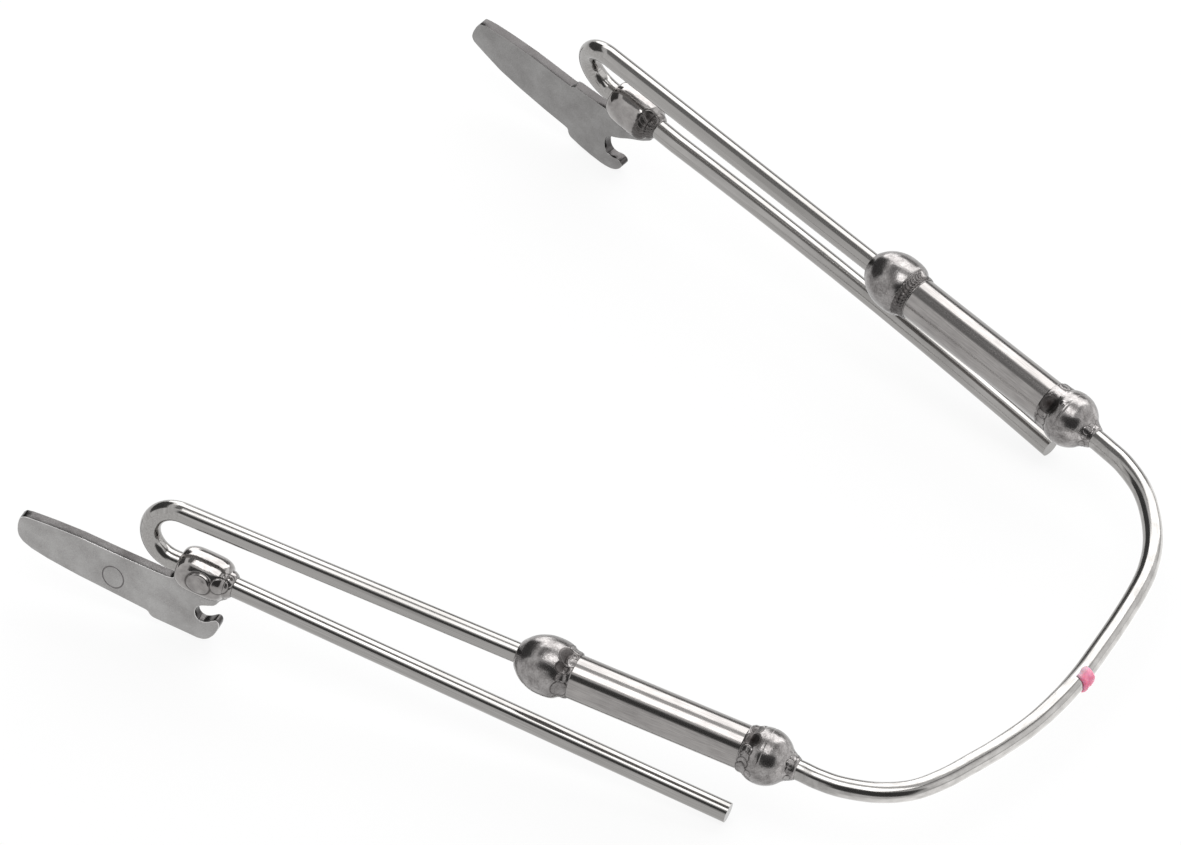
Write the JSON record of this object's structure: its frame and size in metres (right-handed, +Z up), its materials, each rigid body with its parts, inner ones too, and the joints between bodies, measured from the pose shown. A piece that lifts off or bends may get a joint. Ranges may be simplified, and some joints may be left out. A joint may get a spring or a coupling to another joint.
{
  "type": "sagittal expander",
  "caption": "Lower lingual orthodontic appliance: sprung telescopic arms, each a U-bent wire with a sheath, hooked molar plate and tube, joined by a front bow wire.",
  "frame": {"origin": "middle of the bounding box, on the table plane that the lower leg ends and plate hooks rest on", "axes": "+X to the front (the bow), +Y to the wearer's left, +Z up; y = 0 is the midline plane"},
  "size_m": [0.0436, 0.0357, 0.0077],
  "materials": {
    "polished_wire": "mirror polished stainless steel wire",
    "polished_tube": "polished stainless steel tube",
    "tumbled_steel": "tumble polished, laser welded stainless steel",
    "bright_steel": "bright polished stainless steel",
    "satin_steel": "satin stainless steel sheet",
    "turned_steel": "turned stainless steel",
    "spring_alloy": "drawn spring wire",
    "pink_wax": "soft pink wax"
  },
  "bodies": {
    "front": {"bow_wire": "polished_wire", "midline_mark": "pink_wax", "left_front_ball": "tumbled_steel", "left_tube": "polished_tube", "left_rear_cap": "tumbled_steel", "left_spring": "spring_alloy", "right_front_ball": "tumbled_steel", "right_tube": "polished_tube", "right_rear_cap": "tumbled_steel", "right_spring": "spring_alloy"},
    "left_slider": {"left_stop_collar": "turned_steel"},
    "left_arm": {"left_arm_wire": "polished_wire", "left_sheath": "bright_steel", "left_molar_plate": "satin_steel"},
    "right_slider": {"right_stop_collar": "turned_steel"},
    "right_arm": {"right_arm_wire": "polished_wire", "right_sheath": "bright_steel", "right_molar_plate": "satin_steel"}
  },
  "joints": [
    {"name": "left_arm_slide", "type": "slide", "parent": "front", "child": "left_slider", "axis": [0.9791, -0.166, -0.1178], "range_m": [0, 0.004], "stiffness_N_per_m": 300, "springref_m": -0.003, "deforming": ["left_spring"]},
    {"name": "left_arm_swivel", "type": "hinge", "parent": "left_slider", "child": "left_arm", "pos_m": [0.00319, 0.01338, 0.00519], "axis": [0.9791, -0.166, -0.1178], "continuous": true},
    {"name": "right_arm_slide", "type": "slide", "parent": "front", "child": "right_slider", "axis": [0.9791, 0.166, -0.1178], "range_m": [0, 0.004], "stiffness_N_per_m": 300, "springref_m": -0.003, "deforming": ["right_spring"]},
    {"name": "right_arm_swivel", "type": "hinge", "parent": "right_slider", "child": "right_arm", "pos_m": [0.00319, -0.01338, 0.00519], "axis": [0.9791, 0.166, -0.1178], "continuous": true}
  ]
}
